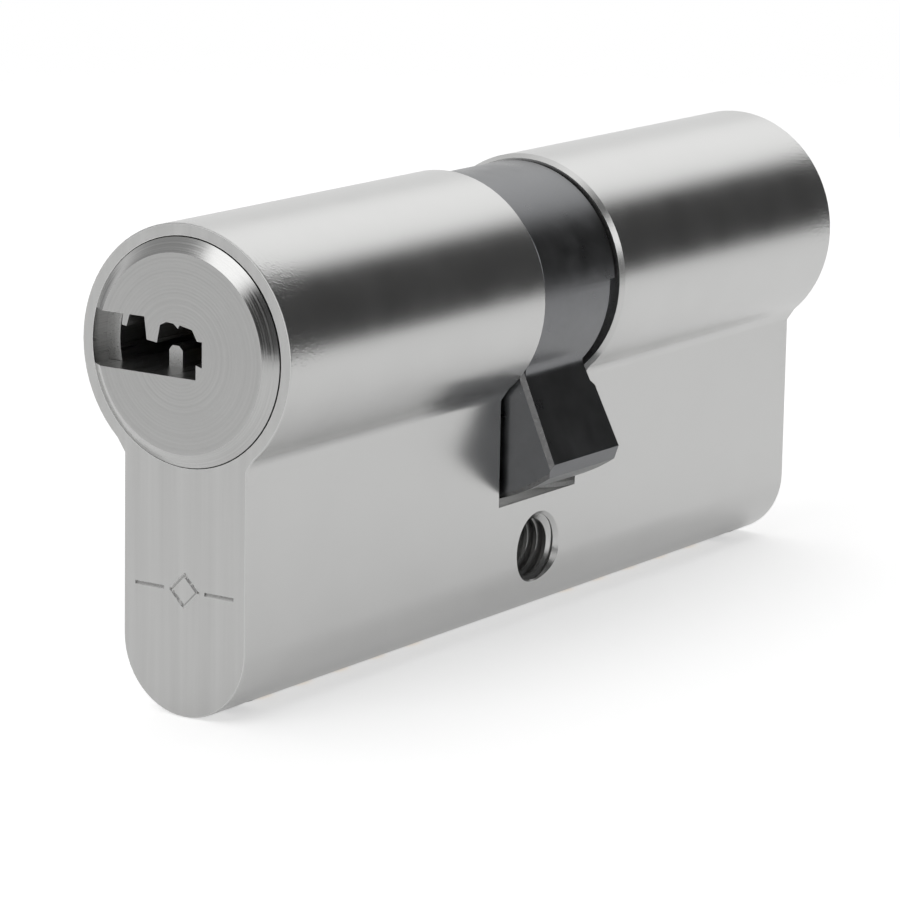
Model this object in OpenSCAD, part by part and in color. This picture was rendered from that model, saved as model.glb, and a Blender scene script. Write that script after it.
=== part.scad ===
// Euro-profile double cylinder for a door lock.
// Frame: origin at the centre of the fixing-screw hole, X across the stem,
// Y along the cylinder from the front end (-Y) to the rear end (+Y), Z up.
// Each half holds a plug with a row of pin stacks, and one cam sits between the halves.

/* [Housing] */
// Overall length, end face to end face
body_length = 70; // [60:5:120]
// Overall height of the profile
body_height = 33; // [31:0.5:40]
// Diameter of the round upper part of the profile
head_d = 17; // [16.6:0.1:21]
// Width of the stem below it
stem_w = 10; // [8.4:0.1:12]
// How far the neck's flanks reach down past the corner of round part and stem
neck_fill = 0.4; // [0.1:0.1:1]
// Width of the slot for the cam
slot_w = 10; // [9:0.1:13]
// Gap between the sweep of the cam's bit and the floor of the slot
slot_floor_gap = 0.6; // [0.3:0.1:1]

/* [Fixing screw] */
// Depth of the screw hole below the plug axis
screw_drop = 18.9; // [18.4:0.1:19.6]
// Tapping diameter of the M5 screw hole
screw_tap_d = 4.2; // [3.3:0.1:4.5]
// Diameter of the hole's countersunk mouths
screw_mouth_d = 5.5; // [4.7:0.1:6]

/* [Plugs] */
// Diameter of a plug's barrel
plug_d = 13; // [12:0.1:13.6]
// Diameter of a plug's head
plug_head_d = 15.2; // [14.4:0.1:15.8]
// Diameter of the flat face in front of the head's chamfer
plug_face_d = 13.3; // [12:0.1:14.4]
// How far the flat face stands out of the housing
plug_proud = 0.7; // [0.3:0.1:1.5]
// Depth of the seat that the head turns in
head_seat = 1.5; // [1.2:0.1:3]
// Radial running clearance of the plugs, pins and cam
run_gap = 0.05; // [0.02:0.01:0.08]
// End clearance between turning faces
end_gap = 0.12; // [0.05:0.01:0.2]

/* [Keyway] */
// Left end of the pocket for the key's shoulder, past the head
pocket_left = -9; // [-10:0.5:-8]
// Right end of the pocket
pocket_right = 1.35; // [1:0.05:1.6]
// Floor of the pocket and of the keyway below the plug axis
key_floor = -1.55; // [-2:0.05:-1.4]
// Top of the keyway above the plug axis
key_top = 2.15; // [2:0.05:2.6]
// Depth of the pocket behind the flat face
pocket_depth = 2.9; // [1.5:0.1:4]
// Solid wall left behind the end of the keyway
key_end_wall = 3.9; // [3.5:0.1:6]

/* [Pin stacks] */
// Diameter of the pin chambers
chamber_d = 2.9; // [2.2:0.1:3]
// Distance of the first chamber from its end face
first_pin = 7.4; // [7:0.1:9]
// Distance of the last chamber from the cam slot
last_pin = 5; // [4.4:0.1:6]
// Length of a driver pin
driver_l = 5.6; // [4:0.1:6.5]
// Travel of a driver pin down its chamber
driver_travel = 2; // [1:0.1:2.5]
// Travel of a key pin into the keyway
key_pin_travel = 1; // [0.5:0.1:1.2]
// Length of a chamber's closing plug
stopper_l = 2; // [1.5:0.1:3]
// Diameter of the spring wire
spring_wire_d = 0.36; // [0.2:0.02:0.5]
// Turns in a pin spring
spring_turns = 8; // [5:1:10]

/* [Cam and coupler] */
// Diameter of the cam's ring
cam_ring_d = 16.2; // [15.8:0.1:16.8]
// Radius that the cam's bit sweeps
cam_sweep_r = 15.2; // [14:0.1:15.4]
// Width of the cam's bit
cam_bit_w = 7.4; // [6:0.1:8]
// Angle of the bit from straight down, towards +X
cam_rest_angle = 23.5; // [0:0.5:45]
// Gap between the cam and each wall of its slot
cam_side_gap = 0.35; // [0.2:0.05:0.5]
// Chamfer of the cam's outer edges
cam_chamfer = 0.3; // [0.2:0.05:0.8]
// Cut of the corners at the tip of the cam's bit
cam_tip_cut = 0.6; // [0.3:0.1:1.2]
// Relief of the bit's rear flank, next to the ring
cam_relief = 1; // [0.5:0.1:1.4]
// Relief of the ring's rear side, on the bit's side of the ring
ring_relief = 0.8; // [0.4:0.1:1.2]
// Angle to which the ring's relief reaches on either side of the bit
ring_relief_angle = 70; // [50:1:85]
// Fillet radius between the bit's flanks and the ring
cam_fillet = 1.2; // [0.5:0.1:1.6]
// Thickness of a retaining clip
clip_t = 0.9; // [0.6:0.1:1]
// Depth of the clip's groove in the plug
clip_groove = 0.9; // [0.6:0.1:1.1]
// Width of the lip behind the groove
plug_lip = 0.65; // [0.5:0.05:0.9]
// Width of the coupler's drive bars
bar_w = 3.2; // [2.4:0.1:3.6]
// How far a drive bar reaches into a plug
bar_grip = 1.3; // [0.9:0.1:1.4]
// Thickness of a drive bar along the plug axis
bar_t = 2; // [1.6:0.1:2.4]

/* [Drill guards] */
// Diameter of a hardened pin
guard_d = 2; // [1.5:0.1:2.2]
// Distance of the hardened pins from their end face
guard_inset = 3.7; // [3:0.1:4.2]
// Distance of a hardened pin from the middle of the stem
guard_x = 1.7; // [1.5:0.1:3.2]

/* [Hidden] */
$fn = 96;
PINS = 5;
// How much each key pin's tip stands above the keyway floor, front half and rear half
FRONT_CUTS = [0.5, 0.9, 0.3, 1.1, 0.7];
REAR_CUTS = [0.9, 0.3, 0.7, 0.5, 1.1];
half = body_length / 2;
head_r = head_d / 2;
axis_z = screw_drop;
stem_drop = body_height - head_r;
plug_r = plug_d / 2;
bore_r = plug_r + run_gap;
head_seat_r = plug_head_d / 2 + run_gap;
// Angle below horizontal at which the round part would meet the stem
neck_angle = acos(stem_w / head_d);
neck_z = head_r * sin(neck_angle) + neck_fill;
slot_half = slot_w / 2;
slot_sweep_r = cam_sweep_r + slot_floor_gap;
chamber_r = chamber_d / 2;
pin_r = chamber_r - run_gap;
pin_pitch = (half - slot_half - last_pin - first_pin) / (PINS - 1);
// Heights on a pin stack, measured from the plug axis
driver_top = -plug_r - run_gap - 0.02;
driver_bottom = driver_top - driver_l;
stopper_bottom = -stem_drop + 0.3;
stopper_top = stopper_bottom + stopper_l;
key_pin_bottom = -plug_r + 0.08;
key_pin_chamfer = 0.2;
key_pin_cone = 0.9;
chamber_top = key_floor + 2.1;
// Places along one half, measured back from the cam's middle plane
clip_near = slot_half - 0.06;
groove_far = clip_near - clip_t - 0.06;
plug_end = groove_far - plug_lip;
clip_r = plug_r + 0.7;
cam_half = slot_half - cam_side_gap;
cam_ring_r = cam_ring_d / 2;
cam_web_half = plug_end - end_gap;
// The coupler: two drive pieces with a spring between them, moved as one
bar_reach = plug_end + bar_grip;
coupler_l = 2 * bar_t + 1;
coupler_travel = 2 * bar_reach - coupler_l;
bar_half = plug_r - clip_groove - 0.4;
nose_r = 1.5;
nose_l = 2.4;
coupler_hole = 1;
coupler_spring_r = 1.6;
fit = 0.05;

// Distance of pin number n from the cam's middle plane
function pin_y(n) = half - first_pin - (n - 1) * pin_pitch;

// Lifts the children from the plug axis to the row frame
module on_axis() { translate([0, 0, axis_z]) children(); }

// Turns the children end for end, so that a front piece becomes a rear one
module rear() { rotate([0, 0, 180]) children(); }

// Extrudes a flat shape drawn in X and Z from y0 to y1
module along_y(y0, y1) {
    translate([0, y1, 0]) rotate([90, 0, 0]) linear_extrude(y1 - y0) children();
}

// Turns a flat shape drawn as radius and Y about the Y axis
module turned() { rotate([-90, 0, 0]) rotate_extrude() children(); }

// A solid cylinder along Y
module rod_y(r, y0, y1) { translate([0, y0, 0]) rotate([-90, 0, 0]) cylinder(r = r, h = y1 - y0); }

// The standard outline about the plug axis: round top, straight neck flanks, stem, round foot
module profile() {
    foot_r = stem_w / 2;
    neck_x = (head_r - 0.25) * cos(neck_angle - 17);
    neck_top = -(head_r - 0.25) * sin(neck_angle - 17);
    union() {
        circle(r = head_r);
        polygon([
            [-neck_x, neck_top], [-foot_r, -neck_z], [-foot_r, foot_r - stem_drop],
            [foot_r, foot_r - stem_drop], [foot_r, -neck_z], [neck_x, neck_top]
        ]);
        translate([0, foot_r - stem_drop]) circle(r = foot_r);
    }
}

// Chambers, seat and guard holes of the front half
module half_cuts() {
    rod_y(head_seat_r, -half - 1, -half + head_seat);
    for (n = [1 : PINS])
        translate([0, -pin_y(n), -stem_drop - 1]) cylinder(r = chamber_r, h = stem_drop + 1);
    for (side = [-1, 1])
        translate([side * guard_x, -half + guard_inset, -stem_drop - 1])
            cylinder(d = guard_d, h = stem_drop + 1 - plug_r - 1.2);
}

module housing() {
    color("silver") difference() {
        on_axis() difference() {
            along_y(-half, half) profile();
            rod_y(bore_r, -half - 1, half + 1);
            rod_y(slot_sweep_r, -slot_half, slot_half);
            half_cuts();
            rear() half_cuts();
        }
        rotate([0, 90, 0]) cylinder(d = screw_tap_d, h = stem_w + 2, center = true);
        mouth = (screw_mouth_d - screw_tap_d) / 2;
        for (side = [0, 180])
            rotate([0, 90, side]) translate([0, 0, stem_w / 2 - mouth])
                cylinder(d1 = screw_tap_d, d2 = screw_mouth_d + 2, h = mouth + 1);
    }
}

// The opening of the keyway at the plug's face: pocket, upper wards and right-hand step
module keyway_mouth() {
    polygon([
        [pocket_left, key_floor], [pocket_right, key_floor], [pocket_right, key_floor + 1],
        [pocket_right + 0.5, key_floor + 0.85], [pocket_right + 0.5, key_top - 1.15],
        [pocket_right + 0.1, key_top - 1.15], [pocket_right - 0.3, key_top - 0.45],
        [0.05, key_top - 0.25], [-0.1, key_top - 0.5], [-0.45, key_top - 0.2],
        [-1.05, key_top - 0.15], [-1.55, key_top - 0.4], [-1.8, key_top - 1.6],
        [-2.65, key_top - 1.5], [-2.85, key_top], [-4.05, key_top], [-4.3, key_top - 0.8],
        [-4.7, key_top - 0.75], [-4.6, key_top], [pocket_left, key_top]
    ]);
}

// The keyway behind the pocket, with a ward on its floor
module keyway_section() {
    difference() {
        keyway_mouth();
        polygon([
            [-3, key_floor - 1], [-1.9, key_floor - 1], [-1.9, key_floor + 1.1],
            [-2.2, key_floor + 1.4], [-2.75, key_floor + 1.4], [-3, key_floor + 1.1]
        ]);
        translate([pocket_right, key_floor - 1]) square([2, key_top - key_floor + 2]);
    }
}

module plug() {
    face = -half - plug_proud;
    seat = -half + head_seat - end_gap;
    difference() {
        turned() polygon([
            [0, face], [plug_face_d / 2, face], [plug_head_d / 2, -half - 0.05],
            [plug_head_d / 2, seat], [plug_r, seat], [plug_r, -clip_near - 0.06],
            [plug_r - clip_groove, -clip_near - 0.06], [plug_r - clip_groove, -groove_far],
            [plug_r, -groove_far], [plug_r, -plug_end], [0, -plug_end]
        ]);
        along_y(face - 1, face + pocket_depth) keyway_mouth();
        along_y(face + 1, -plug_end - key_end_wall) keyway_section();
        rod_y(nose_r + 0.3, -plug_end - key_end_wall - 1, 0);
        translate([-bar_half - fit, -bar_reach - end_gap, -bar_w / 2 - fit])
            cube([2 * (bar_half + fit), bar_reach, bar_w + 2 * fit]);
        for (n = [1 : PINS])
            translate([0, -pin_y(n), -plug_r - 1]) cylinder(r = chamber_r, h = chamber_top + plug_r + 1);
    }
}

module front_plug() { color("lightsteelblue") on_axis() plug(); }
module rear_plug() { color("lightsteelblue") on_axis() rear() plug(); }

// A spring-steel C ring with its gap upwards
module clip() {
    difference() {
        rod_y(clip_r, -clip_near, -clip_near + clip_t);
        rod_y(plug_r - clip_groove + fit, -slot_half - 1, 0);
        translate([-2.5, -slot_half - 1, 0]) cube([5, slot_half + 1, clip_r + 1]);
    }
}

module front_clip() { color("dimgray") on_axis() clip(); }
module rear_clip() { color("dimgray") on_axis() rear() clip(); }

// The ring's turned outline on one side of its middle plane
function ring_side(s) = [
    [clip_r + 0.15, s * cam_half], [cam_ring_r - cam_chamfer / 2, s * cam_half],
    [cam_ring_r, s * (cam_half - cam_chamfer / 2)]
];
// The ring's bore on one side, stepped to clear the clip and to run on the plug's lip
function bore_side(s) = [
    [bore_r, s * cam_web_half], [bore_r, s * (groove_far - 0.06)],
    [clip_r + 0.15, s * (groove_far - 0.06)]
];
function flipped(list) = [for (i = [len(list) - 1 : -1 : 0]) list[i]];

// What the bit's rear flank is relieved by, with the bit pointing down
module bit_cut_back(root) {
    translate([-cam_bit_w, 0, 0]) rotate([90, 0, 90]) linear_extrude(2 * cam_bit_w) polygon([
        [cam_half - 1.7 * cam_relief, -root + 1], [cam_half - 1.4 * cam_relief, -cam_ring_r - 1],
        [cam_half - cam_relief, -cam_ring_r - 1.4], [cam_half - 0.35, -cam_sweep_r - 1],
        [cam_half + 1, -cam_sweep_r - 1], [cam_half + 1, -root + 1]
    ]);
}

// The fillets where the flanks meet the ring, with the bit pointing down
module bit_fillets() {
    across = cam_bit_w / 2 + cam_fillet;
    low = sqrt(pow(cam_ring_r + cam_fillet, 2) - pow(across, 2));
    turn = asin(low / (cam_ring_r + cam_fillet));
    outline = concat(
        [[cam_bit_w / 2 - 0.5, -low]],
        [for (i = [0:4]) let (a = 180 - turn * i / 4)
            [across + cam_fillet * cos(a), -low + cam_fillet * sin(a)]],
        [[cam_bit_w / 2, -cam_ring_r + 1.6], [cam_bit_w / 2 - 0.5, -cam_ring_r + 1.6]]
    );
    along_y(-cam_half + cam_chamfer, cam_half - cam_chamfer) polygon(outline);
    along_y(-cam_half + cam_chamfer, cam_half - cam_chamfer)
        polygon(flipped([for (p = outline) [-p[0], p[1]]]));
}

// The bit, pointing down: a turned rim, a chamfered bar, cut corners at the tip, and a rear
// flank relieved towards the ring
module cam_bit() {
    along = cam_sweep_r + 1;
    root = (cam_ring_r + clip_r + 0.15) / 2;
    tip = sqrt(pow(cam_sweep_r, 2) - pow(cam_bit_w / 2, 2));
    difference() {
        bit_fillets();
        bit_cut_back(root);
    }
    difference() {
        intersection() {
            turned() polygon([
                [root, -cam_half], [cam_sweep_r - cam_chamfer, -cam_half],
                [cam_sweep_r, -cam_half + cam_chamfer], [cam_sweep_r, cam_half - cam_chamfer],
                [cam_sweep_r - cam_chamfer, cam_half], [root, cam_half]
            ]);
            along_y(-cam_half - 1, cam_half + 1) polygon([
                [-cam_bit_w / 2 - 1, 0], [-cam_bit_w / 2 - 1, -tip + cam_tip_cut + 1],
                [-cam_bit_w / 2 + cam_tip_cut + 1, -tip - 1],
                [cam_bit_w / 2 - cam_tip_cut - 1, -tip - 1],
                [cam_bit_w / 2 + 1, -tip + cam_tip_cut + 1], [cam_bit_w / 2 + 1, 0]
            ]);
            translate([0, 0, -along]) linear_extrude(along) polygon([
                [-cam_bit_w / 2, -cam_half + cam_chamfer],
                [-cam_bit_w / 2 + cam_chamfer, -cam_half],
                [cam_bit_w / 2 - cam_chamfer, -cam_half],
                [cam_bit_w / 2, -cam_half + cam_chamfer],
                [cam_bit_w / 2, cam_half - cam_chamfer],
                [cam_bit_w / 2 - cam_chamfer, cam_half],
                [-cam_bit_w / 2 + cam_chamfer, cam_half],
                [-cam_bit_w / 2, cam_half - cam_chamfer]
            ]);
        }
        bit_cut_back(root);
    }
}

// What the ring's rear side is relieved by, with the bit pointing down
module ring_relief_cut() {
    reach = 2 * cam_ring_r;
    side = reach * sin(ring_relief_angle);
    low = reach * cos(ring_relief_angle);
    intersection() {
        rod_y(cam_ring_r + 0.7, cam_half - ring_relief, cam_half + 1);
        along_y(cam_half - ring_relief - 1, cam_half + 2)
            polygon([[0, 0], [-side, -low], [-side, -2 * reach], [side, -2 * reach], [side, -low]]);
    }
}

module cam() {
    color("dimgray") on_axis() difference() {
        union() {
            turned() polygon(concat(
                [[0, -cam_web_half]], bore_side(-1), ring_side(-1),
                flipped(ring_side(1)), flipped(bore_side(1)), [[0, cam_web_half]]
            ));
            rotate([0, -cam_rest_angle, 0]) cam_bit();
        }
        rotate([0, -cam_rest_angle, 0]) ring_relief_cut();
        rod_y(bar_w / 2 + 1.3, -slot_half, slot_half);
        translate([-bar_half - fit, -slot_half, -bar_w / 2 - fit])
            cube([2 * (bar_half + fit), slot_w, bar_w + 2 * fit]);
    }
}

// One drive piece: a cross bar with a round hub, a nose towards its plug and a spring hole
module drive_piece() {
    difference() {
        union() {
            translate([-bar_half, -bar_reach, -bar_w / 2]) cube([2 * bar_half, bar_t, bar_w]);
            rod_y(nose_r, -bar_reach - nose_l, -bar_reach + bar_t);
        }
        rod_y(coupler_spring_r - 0.4, -bar_reach + bar_t - coupler_hole, 0);
    }
}

module front_drive_piece() { color("darkgray") on_axis() drive_piece(); }
module rear_drive_piece() {
    color("darkgray") on_axis() translate([0, -coupler_travel, 0]) rear() drive_piece();
}

// A compression spring along Z from the origin: a round wire swept along a helix
module spring(length, coil_r, wire_d, turns) {
    per_turn = 12;
    sides = 6;
    rings = turns * per_turn;
    rise = length - wire_d;
    points = [for (i = [0 : rings], j = [0 : sides - 1])
        let (a = 360 * i / per_turn, b = 360 * j / sides, r = coil_r + wire_d / 2 * cos(b))
        [r * cos(a), r * sin(a), wire_d / 2 + rise * i / rings + wire_d / 2 * sin(b)]];
    skin = [for (i = [0 : rings - 1], j = [0 : sides - 1])
        let (k = (j + 1) % sides, here = i * sides, next = here + sides)
        [here + j, here + k, next + k, next + j]];
    first_end = [for (j = [0 : sides - 1]) sides - 1 - j];
    last_end = [for (j = [0 : sides - 1]) rings * sides + j];
    polyhedron(points, concat([first_end], skin, [last_end]));
}

module coupler_spring() {
    length = coupler_l - 2 * (bar_t - coupler_hole) - 0.04;
    color("gainsboro") on_axis() translate([0, -bar_reach + bar_t - coupler_hole + 0.02, 0])
        rotate([-90, 0, 0]) spring(length, coupler_spring_r - 0.7, 0.3, 4);
}

// The cylinders that close the chambers from below
module stoppers() {
    for (n = [1 : PINS])
        translate([0, -pin_y(n), stopper_bottom]) cylinder(r = chamber_r - 0.01, h = stopper_l);
}

module front_stoppers() { color("khaki") on_axis() stoppers(); }
module rear_stoppers() { color("khaki") on_axis() rear() stoppers(); }

// Hardened pins beside the first chamber
module drill_guards() {
    low = -stem_drop + stem_w / 2 - sqrt(pow(stem_w / 2, 2) - pow(guard_x + guard_d / 2, 2)) + 0.05;
    for (side = [-1, 1])
        translate([side * guard_x, -half + guard_inset, low])
            cylinder(d = guard_d - 0.02, h = -plug_r - 1.3 - low);
}

module front_drill_guards() { color("slategray") on_axis() drill_guards(); }
module rear_drill_guards() { color("slategray") on_axis() rear() drill_guards(); }

// A key pin: a chamfered foot at the shear line and a blunt cone in the keyway
module key_pin(n, cuts) {
    tip = key_floor + cuts[n - 1];
    translate([0, -pin_y(n), 0]) rotate_extrude() polygon([
        [0, key_pin_bottom], [pin_r - 0.5, key_pin_bottom],
        [pin_r, key_pin_bottom + key_pin_chamfer], [pin_r, tip - key_pin_cone],
        [0.5, tip], [0, tip]
    ]);
}

// A driver pin with its waist, below the shear line
module driver_pin(n) {
    translate([0, -pin_y(n), 0]) rotate_extrude() polygon([
        [0, driver_bottom], [pin_r, driver_bottom], [pin_r, driver_bottom + 2],
        [pin_r - 0.3, driver_bottom + 2.3], [pin_r - 0.3, driver_top - 1.1],
        [pin_r, driver_top - 0.8], [pin_r, driver_top - 0.2], [pin_r - 0.2, driver_top],
        [0, driver_top]
    ]);
}

module pin_spring(n) {
    translate([0, -pin_y(n), stopper_top + 0.02])
        spring(driver_bottom - stopper_top - 0.04, pin_r - 0.3, spring_wire_d, spring_turns);
}

housing();
front_plug();
rear_plug();
front_clip();
rear_clip();
cam();
front_drive_piece();
rear_drive_piece();
coupler_spring();
front_stoppers();
rear_stoppers();
front_drill_guards();
rear_drill_guards();
for (n = [1 : PINS]) {
    color("goldenrod") on_axis() key_pin(n, FRONT_CUTS);
    color("goldenrod") on_axis() rear() key_pin(n, REAR_CUTS);
    color("lightgray") on_axis() driver_pin(n);
    color("lightgray") on_axis() rear() driver_pin(n);
    color("gainsboro") on_axis() pin_spring(n);
    color("gainsboro") on_axis() rear() pin_spring(n);
}
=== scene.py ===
"""Euro-profile double cylinder for a door lock: its visible pieces, built around the CAD frame.

All sizes are in metres, in the frame's own axes: X across the stem, Y along the cylinder
from the front end to the rear end, Z up. Plugs, cam and coupler turn or slide about one axis.
"""

import math

import bmesh
import bpy
from mathutils import Matrix, Vector


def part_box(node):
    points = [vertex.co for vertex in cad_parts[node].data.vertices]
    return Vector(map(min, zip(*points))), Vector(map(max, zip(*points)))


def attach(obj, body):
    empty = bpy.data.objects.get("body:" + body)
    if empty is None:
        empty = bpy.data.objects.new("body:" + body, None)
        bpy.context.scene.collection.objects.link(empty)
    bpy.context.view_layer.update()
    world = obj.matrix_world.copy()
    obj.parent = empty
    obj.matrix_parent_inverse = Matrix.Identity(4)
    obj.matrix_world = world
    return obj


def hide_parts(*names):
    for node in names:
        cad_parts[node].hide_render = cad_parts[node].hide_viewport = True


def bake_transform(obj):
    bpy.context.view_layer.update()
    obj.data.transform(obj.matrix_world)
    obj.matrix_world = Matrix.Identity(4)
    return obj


bl_info = {
    "name": "Lock Cylinder",
    "version": (1, 0, 0),
    "blender": (4, 5, 0),
    "location": "View3D > Sidebar > Lock",
    "description": "Builds the visible pieces of a double cylinder for a door lock",
    "category": "Add Mesh",
}

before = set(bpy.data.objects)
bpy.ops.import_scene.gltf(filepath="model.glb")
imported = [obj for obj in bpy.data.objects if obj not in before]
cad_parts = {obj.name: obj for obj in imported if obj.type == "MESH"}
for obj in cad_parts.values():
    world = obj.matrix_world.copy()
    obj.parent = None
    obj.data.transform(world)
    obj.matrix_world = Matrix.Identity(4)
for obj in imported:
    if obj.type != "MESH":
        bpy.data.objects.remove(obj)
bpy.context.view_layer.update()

MM = 0.001
# How near a point must be to a face to count as on it, and two points to count as one
TINY = 0.02 * MM
MERGE = 0.001 * MM
# A face whose normal lies this much along an axis stands square to it
SQUARE = 0.95

# The names that the pieces of the front and of the rear half start with
HALVES = ("front", "rear")
PINS = 5

HOUSING_LOW, HOUSING_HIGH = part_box("housing")
PLUG_LOW, PLUG_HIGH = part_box("front_plug")
AXIS_Z = (PLUG_LOW.z + PLUG_HIGH.z) / 2
HALF_LENGTH = HOUSING_HIGH.y
FACE_Y = -PLUG_LOW.y
STEM_HALF = 5.0 * MM
SLOT_HALF = 5.0 * MM

# Distances from the plug axis that part one surface from the next
KEY_POCKET = 5.4 * MM  # the key pocket in a plug's rim lies beyond this
PLUG_HEAD = 6.5 * MM  # only the plug's head is wider than this
SLOT_EDGES = 7.0 * MM  # the edges of the cam slot, and not those of its inside, lie beyond this
BORES = 7.8 * MM  # every bore about the axis lies within this
SEAT_EDGE = 7.9 * MM  # the seat's edge lies within this, the housing's end edge beyond it
CAM_RING = 8.6 * MM  # the bit stands out of the cam's ring from here
SLOT_FLOOR = 15.7 * MM  # the bottom of the cam slot

# Depths from the housing's ends
SEAT_RIM = 0.07 * MM  # the seat's broken edge lies within this
END_SKIN = 0.2 * MM  # what faces out within this belongs to the end face
HEAD_CHAMFER = 1.6 * MM  # the plug's chamfer lies within this
# Depths from the plugs' faces
POCKET_DEPTH = 1.2 * MM  # the key pocket lies within this
FACE_SKIN = 0.06 * MM  # what faces out within this belongs to the face


def linear(hex_colour):
    """Turns an sRGB hex colour into the linear values, with alpha, that Blender's sockets take."""
    parts = [int(hex_colour[i : i + 2], 16) / 255 for i in (1, 3, 5)]
    return tuple(
        c / 12.92 if c <= 0.04045 else ((c + 0.055) / 1.055) ** 2.4 for c in parts
    ) + (1.0,)


def length(name, description, millimetres, smallest=0.0):
    """A length that a user may change, given in millimetres and held in metres."""
    return bpy.props.FloatProperty(
        name=name,
        description=description,
        default=millimetres * MM,
        min=smallest * MM,
        unit="LENGTH",
        precision=5,
    )


def colour(name, description, hex_colour):
    """A colour that a user may change."""
    return bpy.props.FloatVectorProperty(
        name=name,
        description=description,
        subtype="COLOR",
        size=4,
        min=0,
        max=1,
        default=linear(hex_colour),
    )


class LockSizes(bpy.types.PropertyGroup):
    """Sizes of the details that the visible pieces add to the CAD solids"""

    edge_break: length("Housing edge break", "Width of the housing's broken edges", 0.1)
    slot_break: length("Slot edge break", "Width of the front half's broken slot edge", 0.2)
    seat_break: length("Seat edge break", "Width of the broken edge round each plug's seat", 0.06)
    slot_chamfer: length("Slot chamfer", "Width of the rear half's chamfered slot edge", 0.3)
    plug_break: length("Plug edge break", "Width of the broken edges on the plugs", 0.03)
    thread_pitch: length("Thread pitch", "Pitch of the fixing screw's thread", 0.8, 0.4)
    thread_root: length("Thread root radius", "Radius at the root of the thread", 2.5, 2.2)
    mark_line: length("Mark line width", "Width of the engraved mark's lines", 0.26)
    spring_wire: length("Pin spring wire", "Diameter of the pin springs' wire", 0.36)
    coupler_wire: length("Coupler spring wire", "Diameter of the coupler spring's wire", 0.3)


class LockColours(bpy.types.PropertyGroup):
    """Colours of the lock's finishes"""

    nickel: colour("Nickel plate", "Satin nickel on the housing and plugs", "#CCCCCB")
    oxide: colour("Black oxide", "Blackened steel of the cam", "#7B7C7E")
    bright_steel: colour("Bright steel", "Steel where the black is rubbed off", "#787878")
    brass: colour("Brass", "Bare brass of key pins and stoppers", "#D8B569")
    steel: colour("Pin steel", "Ground steel of driver pins and guards", "#B9BABC")
    sinter: colour("Sintered steel", "Dull grey steel of the drive pieces", "#8A8A88")
    spring: colour("Spring steel", "Blue-grey steel of clips and springs", "#9FA2A6")
    floor: colour("Floor", "Plain pale studio floor", "#E9E9E9")


# ---------------------------------------------------------------- modelling helpers


def pick(*pieces):
    """Leaves edit mode and selects only these objects, the last one active."""
    if bpy.context.mode != "OBJECT":
        bpy.ops.object.mode_set(mode="OBJECT")
    bpy.ops.object.select_all(action="DESELECT")
    for piece in pieces:
        piece.select_set(True)
    if pieces:
        bpy.context.view_layer.objects.active = pieces[-1]


def new_piece(name):
    """Names the primitive that was just added, after its mesh too."""
    piece = bpy.context.object
    piece.name = piece.data.name = name
    return piece


def edit():
    """Goes into edit mode with nothing selected."""
    bpy.ops.object.mode_set(mode="EDIT")
    bpy.ops.mesh.select_mode(type="VERT")
    bpy.ops.mesh.select_all(action="DESELECT")


def leave():
    """Goes back to object mode."""
    bpy.ops.object.mode_set(mode="OBJECT")


def select(piece, kind, test):
    """Selects, in edit mode, the faces or edges that pass the test, and returns how many."""
    bpy.ops.mesh.select_mode(type=kind)
    bpy.ops.mesh.select_all(action="DESELECT")
    shape = bmesh.from_edit_mesh(piece.data)
    chosen = [
        part for part in (shape.faces if kind == "FACE" else shape.edges) if test(part)
    ]
    for part in chosen:
        part.select_set(True)
    bmesh.update_edit_mesh(piece.data)
    return len(chosen)


def from_axis(point):
    """Distance of a point from the plug axis."""
    return math.hypot(point.x, point.z - AXIS_Z)


def ends(edge):
    """The places of an edge's two ends."""
    return [vertex.co for vertex in edge.verts]


def is_corner(edge, degrees=25):
    """True where the two faces at an edge stand at more than this angle."""
    return len(edge.link_faces) == 2 and edge.calc_face_angle() > math.radians(degrees)


def cad_copy(node, name):
    """A copy of a CAD node's mesh to work on, merged, with whole faces in place of triangles."""
    piece = bpy.data.objects.new(name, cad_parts[node].data.copy())
    piece.data.name = name
    piece.data.materials.clear()
    bpy.context.collection.objects.link(piece)
    pick(piece)
    bpy.ops.mesh.customdata_custom_splitnormals_clear()
    edit()
    bpy.ops.mesh.select_all(action="SELECT")
    bpy.ops.mesh.remove_doubles(threshold=MERGE)
    bpy.ops.mesh.mark_sharp(clear=True)
    # Half a degree joins what is flat, and leaves the facets of every round
    bpy.ops.mesh.dissolve_limited(angle_limit=math.radians(0.5))
    leave()
    return piece


def apply_modifier(piece, kind, **settings):
    """Adds a modifier to a piece and applies it."""
    pick(piece)
    bpy.ops.object.modifier_add(type=kind)
    modifier = piece.modifiers[-1]
    for name, value in settings.items():
        setattr(modifier, name, value)
    bpy.ops.object.modifier_apply(modifier=modifier.name)


def cut(piece, cutter):
    """Cuts the cutter's shape out of a piece and removes the cutter."""
    apply_modifier(piece, "BOOLEAN", operation="DIFFERENCE", solver="EXACT", object=cutter)
    bpy.data.objects.remove(cutter)


def place_in_mesh(piece):
    """Moves a piece's place and turn into its mesh, so that its object sits at the origin."""
    pick(piece)
    bpy.ops.object.transform_apply(location=True, rotation=True, scale=True)


def smooth(piece, degrees=35, weighted=True):
    """Shades a piece smooth with its corners kept, flat faces staying flat up to their bevels."""
    pick(piece)
    bpy.ops.object.shade_smooth_by_angle(angle=math.radians(degrees))
    if weighted:
        apply_modifier(
            piece, "WEIGHTED_NORMAL", mode="FACE_AREA", weight=60, keep_sharp=True
        )


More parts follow.
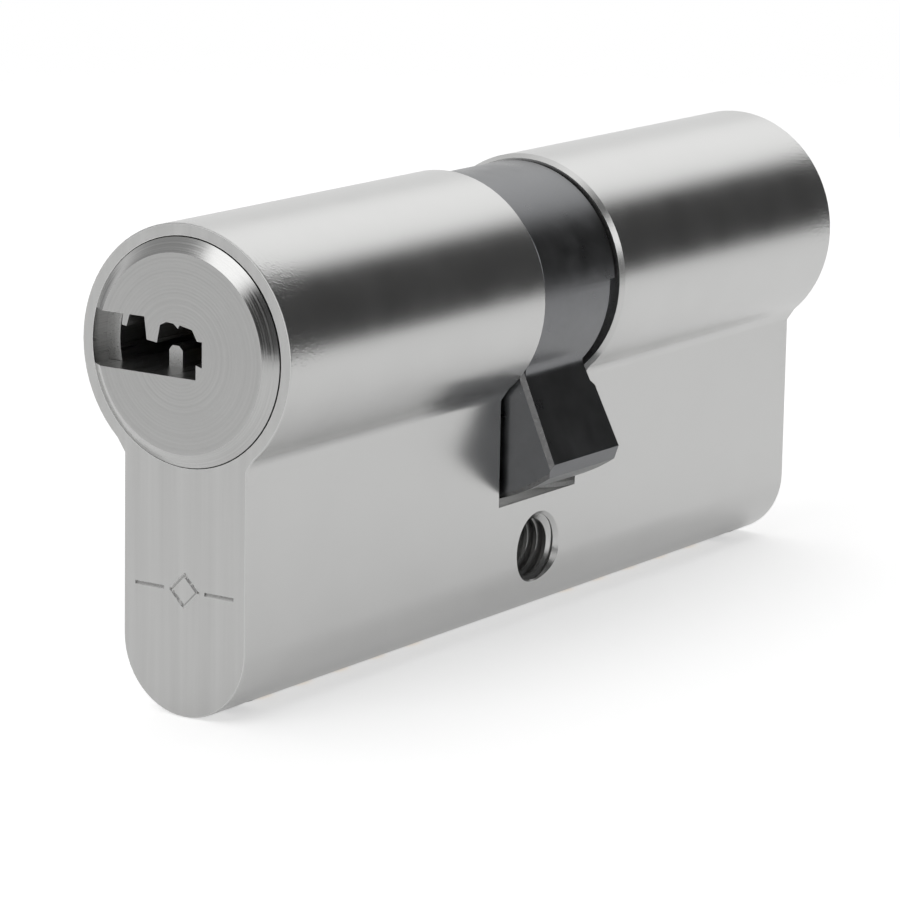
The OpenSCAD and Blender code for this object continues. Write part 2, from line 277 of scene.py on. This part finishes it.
def paint(piece, materials, *tests):
    """Gives a piece its materials: the first all over, each next one where its test holds."""
    for finish in materials:
        piece.data.materials.append(finish)
    pick(piece)
    edit()
    for index, test in enumerate(tests, 1):
        if select(piece, "FACE", test):
            piece.active_material_index = index
            bpy.ops.object.material_slot_assign()
    leave()


def settle(piece, body, node):
    """Puts a finished piece on its body and hides the CAD node it stands for."""
    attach(piece, body)
    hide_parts(node)


# ---------------------------------------------------------------- materials


def add(tree, kind, inputs=None, **settings):
    """Adds a node with its settings. Each input takes a value, or a link from a socket."""
    made = tree.nodes.new("ShaderNode" + kind)
    for name, value in settings.items():
        setattr(made, name, value)
    for name, value in (inputs or {}).items():
        if isinstance(value, bpy.types.NodeSocket):
            tree.links.new(value, made.inputs[name])
        else:
            made.inputs[name].default_value = value
    return made


def per(millimetres):
    """The scale that makes a pattern repeat about once in this many millimetres."""
    return 1 / (millimetres * MM)


def material(name, base, roughness, **constants):
    """Starts a metal: returns its material, node tree and shader."""
    made = bpy.data.materials.new(name)
    made.use_nodes = True
    tree = made.node_tree
    tree.nodes.clear()
    shader = add(
        tree,
        "BsdfPrincipled",
        {"Base Color": base, "Metallic": 1.0, "Roughness": roughness, **constants},
    )
    output = add(tree, "OutputMaterial")
    tree.links.new(shader.outputs["BSDF"], output.inputs["Surface"])
    return made, tree, shader


def grain(tree, size, detail=2.0, stretch=(1, 1, 1)):
    """A noise of a real grain size in millimetres, in object coordinates; returns its factor."""
    place = add(tree, "TexCoord").outputs["Object"]
    mapped = add(
        tree, "Mapping", {"Vector": place, "Scale": [share * per(size) for share in stretch]}
    )
    return add(
        tree,
        "TexNoise",
        {"Vector": mapped.outputs["Vector"], "Scale": 1.0, "Detail": detail},
    ).outputs["Fac"]


def hoops(tree, size, detail):
    """Rings about the plug axis, about a size in millimetres apart.

    Returns their factor, and the distance from the axis that they are drawn by.
    """
    place = add(tree, "TexCoord").outputs["Object"]
    flat = add(
        tree, "Mapping", {"Vector": place, "Location": (0, 0, -AXIS_Z), "Scale": (1, 0, 1)}
    )
    radius = add(
        tree, "VectorMath", {0: flat.outputs["Vector"]}, operation="LENGTH"
    ).outputs["Value"]
    rings = add(
        tree,
        "TexNoise",
        {"W": radius, "Scale": per(size), "Detail": detail},
        noise_dimensions="1D",
    )
    return rings.outputs["Fac"], radius


# A noise's factor keeps within about these values
NOISE_LOW, NOISE_HIGH = 0.3, 0.7


def wear(tree, shader, base, rough, bright, *layers):
    """Makes a metal's surface uneven.

    Its roughness, and the share of its base colour that shows, are each given as a noise factor
    and the values at its low and high end. Each layer is a factor and the height in millimetres
    that it raises the surface by, one over the other.
    """
    roughness, shade = (
        add(
            tree,
            "MapRange",
            {
                "Value": factor,
                "From Min": NOISE_LOW,
                "From Max": NOISE_HIGH,
                "To Min": low,
                "To Max": high,
            },
        ).outputs["Result"]
        for factor, low, high in (rough, bright)
    )
    tree.links.new(roughness, shader.inputs["Roughness"])
    shaded = add(tree, "VectorMath", {0: base[:3], "Scale": shade}, operation="SCALE")
    tree.links.new(shaded.outputs["Vector"], shader.inputs["Base Color"])
    normal = None
    for factor, millimetres in layers:
        inputs = {"Height": factor, "Distance": millimetres * MM, "Strength": 1.0}
        if normal:
            inputs["Normal"] = normal
        normal = add(tree, "Bump", inputs).outputs["Normal"]
    tree.links.new(normal, shader.inputs["Normal"])


def satin_nickel(colours):
    # Nickel plated over tumbled brass: a soft even sheen, with a fine grain. The last few
    # millimetres at both ends are peppered with small dents.
    made, tree, shader = material("satin_nickel_plate", colours.nickel, 0.26)
    fine = grain(tree, 0.16, detail=3.0)
    cloudy = grain(tree, 4.0, detail=3.0)
    place = add(tree, "TexCoord").outputs["Object"]
    along = add(tree, "SeparateXYZ", {"Vector": place}).outputs["Y"]
    from_middle = add(tree, "Math", {0: along}, operation="ABSOLUTE").outputs["Value"]
    near_end, dents = (
        add(
            tree,
            "MapRange",
            {"Value": value, "From Min": low, "From Max": high},
            interpolation_type="SMOOTHSTEP",
        ).outputs["Result"]
        for value, low, high in (
            (from_middle, HALF_LENGTH - 6 * MM, HALF_LENGTH),
            (grain(tree, 0.22), 0.5, 0.68),
        )
    )
    peppered = add(tree, "Math", {0: dents, 1: near_end}, operation="MULTIPLY")
    wear(
        tree,
        shader,
        colours.nickel,
        (cloudy, 0.23, 0.27),
        (cloudy, 0.98, 1.02),
        (fine, 0.002),
        (peppered.outputs["Value"], 0.005),
    )
    return made


def milled_nickel(colours):
    # End face, milled before plating: upright cutter lines, drawn coarser than the real ones of
    # a few hundredths of a millimetre so that they show. Duller than the sides.
    made, tree, shader = material("milled_nickel_face", colours.nickel, 0.36)
    lines = grain(tree, 0.13, detail=3.0, stretch=(1, 1, 0.02))
    broad = grain(tree, 0.8, detail=3.0, stretch=(1, 1, 0.03))
    wear(
        tree, shader, colours.nickel, (lines, 0.32, 0.42), (broad, 0.84, 0.91), (lines, 0.004)
    )
    return made


def turned_nickel(colours):
    # Face turned on a lathe, then plated: close rings about the axis that fan the light out.
    # A tool is fed about a tenth of a millimetre a turn; the rings are drawn twice as coarse so
    # that they show.
    made, tree, shader = material(
        "turned_nickel_face", colours.nickel, 0.33, Anisotropic=0.55
    )
    rings, radius = hoops(tree, 0.24, detail=2.0)
    turns = add(tree, "Math", {0: radius, 1: 2 * math.pi * per(0.23)}, operation="MULTIPLY")
    feed = add(tree, "Math", {0: turns.outputs["Value"]}, operation="SINE").outputs["Value"]
    fine = grain(tree, 0.12)
    tangent = add(tree, "Tangent", direction_type="RADIAL", axis="Y")
    tree.links.new(tangent.outputs["Tangent"], shader.inputs["Tangent"])
    wear(
        tree,
        shader,
        colours.nickel,
        (rings, 0.28, 0.40),
        (rings, 0.70, 0.78),
        (rings, 0.004),
        (feed, 0.003),
        (fine, 0.0012),
    )
    return made


def polished_nickel(colours):
    # Chamfer cut by a fine-fed tool and polished: near mirror, with faint hoops.
    made, tree, shader = material("polished_nickel_chamfer", colours.nickel, 0.16)
    rings, _ = hoops(tree, 0.1, detail=1.0)
    wear(
        tree, shader, colours.nickel, (rings, 0.12, 0.24), (rings, 0.80, 0.88), (rings, 0.0012)
    )
    return made


def shaded_broached_nickel(colours):
    # Keyway and bore walls, cut along the axis: rougher, with painted shade, a darker base colour
    # standing in for the shade that falls in these hollows.
    made, tree, shader = material("shaded_broached_wall", colours.nickel, 0.32)
    lines = grain(tree, 0.1, stretch=(1, 0.02, 1))
    wear(
        # The lowered share of the base colour here is painted shade, not the plating's own colour
        tree, shader, colours.nickel, (lines, 0.26, 0.42), (lines, 0.72, 0.9), (lines, 0.004)
    )
    return made


def black_oxide(colours):
    # Steel blackened in a hot salt bath: dark, slightly patchy, with a low oily sheen.
    made, tree, shader = material("black_oxide_steel", colours.oxide, 0.3)
    patches = grain(tree, 1.6, detail=4.0)
    fine = grain(tree, 0.14)
    wear(
        tree, shader, colours.oxide, (patches, 0.27, 0.36), (patches, 0.9, 1.05), (fine, 0.0014)
    )
    return made


def rubbed_steel(colours):
    # The same steel where use has rubbed the black off: lighter, with fine scuffs.
    made, tree, shader = material("rubbed_steel_edge", colours.bright_steel, 0.3)
    scuffs = grain(tree, 0.25, detail=4.0)
    wear(
        tree,
        shader,
        colours.bright_steel,
        (scuffs, 0.24, 0.42),
        (scuffs, 0.7, 1.05),
        (scuffs, 0.002),
    )
    return made


def plain_metal(name, base, roughness, grit, lines=(1, 1, 1)):
    """A small part's metal: patchy, with a grit in millimetres that lines may draw out."""
    made, tree, shader = material(name, base, roughness)
    patches = grain(tree, 0.8, detail=3.0)
    fine = grain(tree, grit, stretch=lines)
    wear(
        tree,
        shader,
        base,
        (fine, roughness - 0.05, roughness + 0.07),
        (patches, 0.88, 1.06),
        (fine, 0.003),
        (patches, 0.002),
    )
    return made


# ---------------------------------------------------------------- pieces


# The cutter starts just inside the fixing hole's wall, so that it cuts the whole of the flanks
THREAD_CREST = 2.02 * MM
THREAD_STEPS = 40  # in each turn


def thread_cutter(sizes):
    """A helical V that cuts the screw thread along the fixing hole, past both its mouths."""
    pitch, root = sizes.thread_pitch, sizes.thread_root
    # The flanks of a metric thread stand at 60 degrees, with an eighth of the pitch at the root
    root_half = pitch / 16
    crest_half = root_half + (root - THREAD_CREST) * math.tan(math.radians(30))
    turns = 2 * math.ceil((STEM_HALF + pitch) / pitch)
    pick()
    bpy.ops.mesh.primitive_plane_add(size=1, location=(0, 0, 0))
    cutter = new_piece("thread_cutter")
    edit()
    shape = bmesh.from_edit_mesh(cutter.data)
    around = sorted(shape.verts, key=lambda v: math.atan2(v.co.y, v.co.x))
    corners = (
        (-crest_half, THREAD_CREST),
        (crest_half, THREAD_CREST),
        (root_half, root),
        (-root_half, root),
    )
    for vertex, (x, z) in zip(around, corners):
        vertex.co = (x - turns * pitch / 2, 0, z)
    bmesh.update_edit_mesh(cutter.data)
    bpy.ops.mesh.select_all(action="SELECT")
    bpy.ops.mesh.delete(type="ONLY_FACE")
    leave()
    apply_modifier(
        cutter,
        "SCREW",
        axis="X",
        angle=2 * math.pi,
        screw_offset=pitch,
        iterations=turns,
        steps=THREAD_STEPS,
        render_steps=THREAD_STEPS,
        use_merge_vertices=False,
    )
    edit()
    bpy.ops.mesh.select_all(action="SELECT")
    bpy.ops.mesh.remove_doubles(threshold=MERGE)
    bpy.ops.mesh.select_all(action="DESELECT")
    bpy.ops.mesh.select_non_manifold()
    bpy.ops.mesh.fill_holes(sides=4)
    bpy.ops.mesh.select_all(action="SELECT")
    bpy.ops.mesh.normals_make_consistent(inside=False)
    leave()
    return cutter


# The engraved mark, a plain diamond between two dashes: how far its middle lies below the plug
# axis, and each stroke's ends in millimetres, across and up from that middle
MARK_DROP = 15.9 * MM
MARK_STROKES = (
    ((-4.0, 0.0), (-1.7, 0.0)),
    ((1.7, 0.0), (4.0, 0.0)),
    ((-1.1, 0.0), (0.0, 1.1)),
    ((0.0, 1.1), (1.1, 0.0)),
    ((1.1, 0.0), (0.0, -1.1)),
    ((0.0, -1.1), (-1.1, 0.0)),
)


def stroke_cutter(sizes, begin, end):
    """A square bar lying on its edge in the stem's front face, that cuts one V-shaped stroke."""
    begin, end = (
        Vector((x * MM, -HALF_LENGTH, AXIS_Z - MARK_DROP + z * MM)) for x, z in (begin, end)
    )
    along = end - begin
    side = sizes.mark_line / math.sqrt(2)
    pick()
    bpy.ops.mesh.primitive_cube_add(size=1)
    stroke = new_piece("mark_stroke")
    stroke.scale = (along.length + side / 2, side, side)
    stroke.rotation_mode = "QUATERNION"
    lean = Matrix.Rotation(math.pi / 4, 3, along.normalized())
    turn = Vector((1, 0, 0)).rotation_difference(along).to_matrix()
    stroke.rotation_quaternion = (lean @ turn).to_quaternion()
    stroke.location = (begin + end) / 2
    place_in_mesh(stroke)
    return stroke


class LOCK_OT_housing(bpy.types.Operator):
    """Builds the plated housing, with broken edges, a threaded fixing hole and a plain mark"""

    bl_idname = "lock.housing"
    bl_label = "Housing"

    def execute(self, context):
        sizes, colours = context.scene.lock_sizes, context.scene.lock_colours
        housing = cad_copy("housing", "plated_housing")
        edit()

        def on_end(edge):
            return all(abs(abs(p.y) - HALF_LENGTH) < TINY for p in ends(edge))

        def at_rim(edge):
            return on_end(edge) and all(from_axis(p) > SEAT_EDGE for p in ends(edge))

        def at_seat(edge):
            return on_end(edge) and all(from_axis(p) < SEAT_EDGE for p in ends(edge))

        def at_slot(side):
            return lambda edge: all(
                abs(side * p.y - SLOT_HALF) < TINY and from_axis(p) > SLOT_EDGES
                for p in ends(edge)
            )

        for test, width, segments in (
            (at_rim, sizes.edge_break, 2),
            (at_seat, sizes.seat_break, 2),
            (at_slot(-1), sizes.slot_break, 1),
            (at_slot(1), sizes.slot_chamfer, 1),
        ):
            if not select(housing, "EDGE", lambda e: is_corner(e) and test(e)):
                raise RuntimeError("the housing lacks an edge to break")
            bpy.ops.mesh.bevel(
                offset=width, segments=segments, affect="EDGES", clamp_overlap=False
            )
        leave()
        cut(housing, thread_cutter(sizes))
        for stroke in MARK_STROKES:
            cut(housing, stroke_cutter(sizes, *stroke))
        smooth(housing)

        def on_end_face(face):
            middle = face.calc_center_median()
            return abs(face.normal.y) > SQUARE and abs(middle.y) > HALF_LENGTH - END_SKIN

        # The walls inside the bores and the cam slot take the broached finish, with its painted
        # shade
        def inside(face):
            middle = face.calc_center_median()
            in_bore = from_axis(middle) < BORES and abs(middle.y) < HALF_LENGTH - SEAT_RIM
            in_slot = abs(middle.y) < SLOT_HALF + TINY and abs(face.normal.x) < 0.5
            return in_bore or (in_slot and from_axis(middle) < SLOT_FLOOR)

        paint(
            housing,
            [satin_nickel(colours), milled_nickel(colours), shaded_broached_nickel(colours)],
            on_end_face,
            inside,
        )
        settle(housing, "housing", "housing")
        return {"FINISHED"}


class LOCK_OT_plugs(bpy.types.Operator):
    """Builds the two turned plugs, with their polished chamfers and keyways"""

    bl_idname = "lock.plugs"
    bl_label = "Plugs"

    def execute(self, context):
        sizes, colours = context.scene.lock_sizes, context.scene.lock_colours
        # The broached finish, with its painted shade, covers all that the face, head and pocket
        # tests leave
        materials = [
            shaded_broached_nickel(colours),
            turned_nickel(colours),
            polished_nickel(colours),
            satin_nickel(colours),
        ]

        def at_face(edge):
            return is_corner(edge, 20) and all(
                abs(abs(p.y) - FACE_Y) < TINY for p in ends(edge)
            )

        def on_face(face):
            middle = face.calc_center_median()
            return abs(face.normal.y) > SQUARE and abs(middle.y) > FACE_Y - FACE_SKIN

        def on_head(face):
            middle = face.calc_center_median()
            faces_out = from_axis(middle + face.normal * MM) > from_axis(middle)
            return (
                abs(middle.y) > HALF_LENGTH - HEAD_CHAMFER
                and from_axis(middle) > PLUG_HEAD
                and faces_out
                and not on_face(face)
            )

        def in_pocket(face):
            middle = face.calc_center_median()
            return (
                abs(middle.y) > FACE_Y - POCKET_DEPTH
                and from_axis(middle) > KEY_POCKET
                and not on_face(face)
                and not on_head(face)
            )

        for half in HALVES:
            plug = cad_copy(f"{half}_plug", f"{half}_turned_plug")
            edit()
            if not select(plug, "EDGE", at_face):
                raise RuntimeError("the plug has no face edges to break")
            bpy.ops.mesh.bevel(
                offset=sizes.plug_break, segments=2, affect="EDGES", clamp_overlap=False
            )
            leave()
            smooth(plug)
            paint(plug, materials, on_face, on_head, in_pocket)
            settle(plug, f"{half}_plug", f"{half}_plug")
        return {"FINISHED"}


class LOCK_OT_cam(bpy.types.Operator):
    """Builds the blackened cam, with the black rubbed off the chamfers of its bit"""

    bl_idname = "lock.cam"
    bl_label = "Cam"

    def execute(self, context):
        colours = context.scene.lock_colours
        cam = cad_copy("cam", "blackened_cam")
        smooth(cam, 25)

        def is_worn(face):
            # The slanted chamfers round the bit, and the small faces at its tip's corners
            slanted = 0.5 < abs(face.normal.y) < 0.9
            on_bit = from_axis(face.calc_center_median()) > CAM_RING
            return on_bit and (slanted or face.calc_area() < 1.2 * MM**2)

        paint(cam, [black_oxide(colours), rubbed_steel(colours)], is_worn)
        settle(cam, "cam", "cam")
        return {"FINISHED"}


# Corners round a spring's wire, and steps in each turn of its coil
WIRE_SIDES = 10
COIL_STEPS = 28
PIN_SPRING_TURNS = 8
COUPLER_SPRING_TURNS = 4


def coil(name, bottom, axis, height, width, wire, turns):
    """A compression spring: a circle of its wire swept along a helix, up an axis from bottom."""
    pick()
    bpy.ops.mesh.primitive_circle_add(
        vertices=WIRE_SIDES,
        radius=wire / 2,
        location=((width - wire) / 2, 0, 0),
        rotation=(math.pi / 2, 0, 0),
    )
    spring = new_piece(name)
    place_in_mesh(spring)
    apply_modifier(
        spring,
        "SCREW",
        axis="Z",
        angle=2 * math.pi,
        screw_offset=(height - wire) / turns,
        iterations=turns,
        steps=COIL_STEPS,
        render_steps=COIL_STEPS,
        use_merge_vertices=False,
    )
    edit()
    bpy.ops.mesh.select_all(action="SELECT")
    bpy.ops.mesh.remove_doubles(threshold=MERGE)
    bpy.ops.mesh.select_all(action="DESELECT")
    bpy.ops.mesh.select_non_manifold()
    bpy.ops.mesh.edge_face_add()
    bpy.ops.mesh.select_all(action="SELECT")
    bpy.ops.mesh.normals_make_consistent(inside=False)
    leave()
    lift = Matrix.Translation(Vector((0, 0, wire / 2)))
    turn = Vector((0, 0, 1)).rotation_difference(Vector(axis)).to_matrix().to_4x4()
    spring.matrix_world = Matrix.Translation(bottom) @ turn @ lift
    place_in_mesh(spring)
    smooth(spring, weighted=False)
    return spring


class LOCK_OT_springs(bpy.types.Operator):
    """Builds the ten pin springs and the coupler's spring"""

    bl_idname = "lock.springs"
    bl_label = "Springs"

    def execute(self, context):
        sizes, colours = context.scene.lock_sizes, context.scene.lock_colours
        # Drawn spring wire: blue-grey and bright, with faint lines
        wire_finish = plain_metal(
            "drawn_spring_wire", colours.spring, 0.24, 0.1, lines=(1, 1, 0.2)
        )
        low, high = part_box("front_pin_spring_1")
        home = (low + high) / 2
        pattern = coil(
            "pin_coil",
            Vector((home.x, home.y, low.z)),
            (0, 0, 1),
            high.z - low.z,
            high.x - low.x,
            sizes.spring_wire,
            PIN_SPRING_TURNS,
        )
        pattern.data.materials.append(wire_finish)
        for half in HALVES:
            for n in range(1, PINS + 1):
                low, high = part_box(f"{half}_pin_spring_{n}")
                middle = (low + high) / 2
                spring = bpy.data.objects.new(f"{half}_coil_{n}", pattern.data.copy())
                spring.data.name = spring.name
                context.collection.objects.link(spring)
                spring.location = middle - home
                place_in_mesh(spring)
                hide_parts(f"{half}_pin_spring_{n}")
                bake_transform(spring)
        bpy.data.objects.remove(pattern)
        low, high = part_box("coupler_spring")
        middle = (low + high) / 2
        spring = coil(
            "coupler_coil",
            Vector((middle.x, low.y, middle.z)),
            (0, 1, 0),
            high.y - low.y,
            high.x - low.x,
            sizes.coupler_wire,
            COUPLER_SPRING_TURNS,
        )
        spring.data.materials.append(wire_finish)
        settle(spring, "coupler", "coupler_spring")
        return {"FINISHED"}


class LOCK_OT_small_parts(bpy.types.Operator):
    """Gives pins, stoppers, guards, clips and drive pieces the finishes of their metals"""

    bl_idname = "lock.small_parts"
    bl_label = "Small parts"

    def execute(self, context):
        colours = context.scene.lock_colours
        # Stretches a grit ten times across the pins' upright axes, into hoops round them
        hoop = (0.1, 0.1, 1)
        finishes = {
            # Brass turned from rod: warm yellow, with short hoops round each pin
            "key_pin": plain_metal("turned_pin_brass", colours.brass, 0.25, 0.1, hoop),
            # Ground steel: cool grey and bright, with finer hoops
            "driver_pin": plain_metal("ground_pin_steel", colours.steel, 0.22, 0.1, hoop),
            # Brass slugs pressed into place: a duller yellow, evenly scuffed
            "stoppers": plain_metal("pressed_brass", colours.brass, 0.32, 0.15),
            # Hardened rod: grey, with a fine even grain
            "drill_guards": plain_metal("hardened_steel_rod", colours.steel, 0.3, 0.12),
            # Stamped and tumbled spring steel: blue-grey, softly scuffed
            "clip": plain_metal("stamped_spring_steel", colours.spring, 0.3, 0.15),
            # Sintered steel: dull, darker and slightly porous
            "drive_piece": plain_metal("sintered_steel", colours.sinter, 0.48, 0.2),
        }
        for name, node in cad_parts.items():
            if node.hide_render:
                continue
            made = [finish for key, finish in finishes.items() if key in name]
            if len(made) != 1:
                raise RuntimeError(f"{name} has no finish of its own")
            for holder in node.material_slots:
                holder.material = made[0]
        return {"FINISHED"}


# The floor is whole within the first distance from the lock, and gone beyond the second
FLOOR_WHOLE, FLOOR_GONE = 0.13, 0.32
FLOOR_RADIUS = 0.33
FLOOR_SIDES = 64
# How much the floor glows by itself: where it is reflected or lights the lock, and as it is seen
FLOOR_GLOW_LIT, FLOOR_GLOW_SEEN = 0.3, 0.51

WHITE = (1, 1, 1, 1)
# The room's brightness, and that of its dark side beyond the right-hand edge of the floor
ROOM_LEVEL, DARK_LEVEL = 0.88, 0.055
# The dark side is bounded by the parts of a direction that lie across (X) and up (Z). Each edge
# goes softly from the first value, outside it, to the second
DARK_EDGES = (("X", 0.0, 0.23), ("Z", -0.22, 0.02), ("Z", 0.92, 0.72))
# Lamps and dark corners, each over what comes before it: the direction it lies in, the angles
# from there in degrees at which its full level ends and at which it is gone, and its level
SPOTS = (
    ((-0.10, 0.81, 0.62), 10, 26, 1.2),  # lamp above the rear end
    ((-0.08, -0.70, 0.71), 10, 26, 1.85),  # lamp above the front end
    ((-0.74, -0.48, 0.47), 12, 34, 0.4),  # dimmer part on the left of the front end
    ((-0.93, 0.30, 0.05), 8, 22, 0.3),  # dimmer part low on the left
    ((0.78, -0.60, 0.12), 14, 30, 0.11),  # dark part low on the right
    ((0.72, -0.59, 0.38), 7, 16, 1.6),  # small lamp on the right, over the dark part
)

# Where the camera looks from, as a turn about Z and an angle up, and its roll, in degrees
CAMERA_AZIMUTH, CAMERA_ELEVATION, CAMERA_ROLL = 33.88, 12.19, 1.04
CAMERA_DISTANCE = 288.4 * MM
# Its target lies this far right of and above the middle of the front plug's seat
CAMERA_RIGHT, CAMERA_UP = 17.26 * MM, -5.99 * MM
CAMERA_LENS, CAMERA_SENSOR = 178, 36
CAMERA_NEAR, CAMERA_FAR = 0.01, 10


def pale_floor(colours):
    # Plain paper: matt and pale. It fades out towards its rim, and is seen from above only, so
    # that the underside of the lock shows from below.
    made = bpy.data.materials.new("pale_floor")
    made.use_nodes = True
    tree = made.node_tree
    tree.nodes.clear()
    paper = add(tree, "BsdfDiffuse", {"Color": colours.floor})
    seen = add(tree, "LightPath").outputs["Is Camera Ray"]
    strength = add(
        tree,
        "Mix",
        {"Factor": seen, "A": FLOOR_GLOW_LIT, "B": FLOOR_GLOW_SEEN},
        data_type="FLOAT",
    ).outputs["Result"]
    glow = add(tree, "Emission", {"Color": WHITE, "Strength": strength})
    both = add(tree, "AddShader", {0: paper.outputs["BSDF"], 1: glow.outputs["Emission"]})
    place = add(tree, "TexCoord").outputs["Object"]
    flat = add(tree, "VectorMath", {0: place, 1: (1, 1, 0)}, operation="MULTIPLY")
    far = add(tree, "VectorMath", {0: flat.outputs["Vector"]}, operation="LENGTH")
    rim = add(
        tree,
        "MapRange",
        {"Value": far.outputs["Value"], "From Min": FLOOR_WHOLE, "From Max": FLOOR_GONE},
        interpolation_type="SMOOTHSTEP",
    ).outputs["Result"]
    below = add(tree, "NewGeometry").outputs["Backfacing"]
    clear = add(tree, "Math", {0: rim, 1: below}, operation="MAXIMUM").outputs["Value"]
    through = add(tree, "BsdfTransparent").outputs["BSDF"]
    mixed = add(tree, "MixShader", {0: clear, 1: both.outputs["Shader"], 2: through})
    add(tree, "OutputMaterial", {"Surface": mixed.outputs["Shader"]})
    return made


def studio():
    """The world: a soft bright room with a dark side and a few lamps, seen itself as white."""
    world = bpy.data.worlds.new("studio")
    world.use_nodes = True
    tree = world.node_tree
    tree.nodes.clear()
    direction = add(tree, "TexCoord").outputs["Generated"]
    parts = add(tree, "SeparateXYZ", {"Vector": direction}).outputs
    dark = 1.0
    for axis, outside, within in DARK_EDGES:
        edge = add(
            tree,
            "MapRange",
            {"Value": parts[axis], "From Min": outside, "From Max": within},
            interpolation_type="SMOOTHSTEP",
        ).outputs["Result"]
        dark = add(tree, "Math", {0: dark, 1: edge}, operation="MULTIPLY").outputs["Value"]
    layers = [(dark, DARK_LEVEL)]
    for toward, full, gone, brightness in SPOTS:
        facing = add(
            tree,
            "VectorMath",
            {0: direction, 1: Vector(toward).normalized()},
            operation="DOT_PRODUCT",
        ).outputs["Value"]
        share = add(
            tree,
            "MapRange",
            {
                "Value": facing,
                "From Min": math.cos(math.radians(gone)),
                "From Max": math.cos(math.radians(full)),
            },
            interpolation_type="SMOOTHSTEP",
        ).outputs["Result"]
        layers.append((share, brightness))
    layers.append((add(tree, "LightPath").outputs["Is Camera Ray"], 1.0))
    level = ROOM_LEVEL
    for share, brightness in layers:
        level = add(
            tree, "Mix", {"Factor": share, "A": level, "B": brightness}, data_type="FLOAT"
        ).outputs["Result"]
    light = add(tree, "Background", {"Color": WHITE, "Strength": level})
    add(tree, "OutputWorld", {"Surface": light.outputs["Background"]})
    return world


class LOCK_OT_stage(bpy.types.Operator):
    """Sets out the pale floor, the soft studio light and the camera"""

    bl_idname = "lock.stage"
    bl_label = "Stage"

    def execute(self, context):
        scene = context.scene
        pick()
        bpy.ops.mesh.primitive_circle_add(
            vertices=FLOOR_SIDES,
            radius=FLOOR_RADIUS,
            fill_type="NGON",
            location=(0, 0, HOUSING_LOW.z),
        )
        floor = new_piece("floor")
        place_in_mesh(floor)
        floor.data.materials.append(pale_floor(scene.lock_colours))
        scene.world = studio()

        azimuth, elevation, roll = (
            math.radians(angle) for angle in (CAMERA_AZIMUTH, CAMERA_ELEVATION, CAMERA_ROLL)
        )
        back = Vector(
            (
                math.sin(azimuth) * math.cos(elevation),
                -math.cos(azimuth) * math.cos(elevation),
                math.sin(elevation),
            )
        )
        right = Vector((math.cos(azimuth), math.sin(azimuth), 0))
        up = back.cross(right)
        target = Vector((0, -HALF_LENGTH, AXIS_Z)) + right * CAMERA_RIGHT + up * CAMERA_UP
        tilt_right = right * math.cos(roll) + up * math.sin(roll)
        tilt_up = up * math.cos(roll) - right * math.sin(roll)
        lens = bpy.data.cameras.new("camera")
        lens.sensor_width = CAMERA_SENSOR
        lens.lens = CAMERA_LENS
        lens.clip_start = CAMERA_NEAR
        lens.clip_end = CAMERA_FAR
        camera = bpy.data.objects.new("camera", lens)
        context.collection.objects.link(camera)
        turn = Matrix((tilt_right, tilt_up, back)).transposed().to_4x4()
        camera.matrix_world = Matrix.Translation(target + back * CAMERA_DISTANCE) @ turn
        scene.camera = camera
        scene.view_settings.view_transform = "Standard"
        return {"FINISHED"}


class LOCK_PT_pieces(bpy.types.Panel):
    """Lists the lock's pieces and the sizes and colours behind them"""

    bl_idname = "LOCK_PT_pieces"
    bl_label = "Lock cylinder"
    bl_space_type = "VIEW_3D"
    bl_region_type = "UI"
    bl_category = "Lock"

    def draw(self, context):
        layout = self.layout
        for operator in OPERATORS:
            layout.operator(operator.bl_idname)
        for group in (context.scene.lock_sizes, context.scene.lock_colours):
            column = layout.column(align=True)
            for name in group.__annotations__:
                column.prop(group, name)


OPERATORS = (
    LOCK_OT_housing,
    LOCK_OT_plugs,
    LOCK_OT_cam,
    LOCK_OT_springs,
    LOCK_OT_small_parts,
    LOCK_OT_stage,
)
CLASSES = (LockSizes, LockColours, *OPERATORS, LOCK_PT_pieces)


def register():
    for made in CLASSES:
        bpy.utils.register_class(made)
    bpy.types.Scene.lock_sizes = bpy.props.PointerProperty(type=LockSizes)
    bpy.types.Scene.lock_colours = bpy.props.PointerProperty(type=LockColours)


def unregister():
    del bpy.types.Scene.lock_colours
    del bpy.types.Scene.lock_sizes
    for made in reversed(CLASSES):
        bpy.utils.unregister_class(made)


def main():
    register()
    bpy.ops.lock.housing()
    bpy.ops.lock.plugs()
    bpy.ops.lock.cam()
    bpy.ops.lock.springs()
    bpy.ops.lock.small_parts()
    bpy.ops.lock.stage()
    pick()


if __name__ == "__main__":
    main()
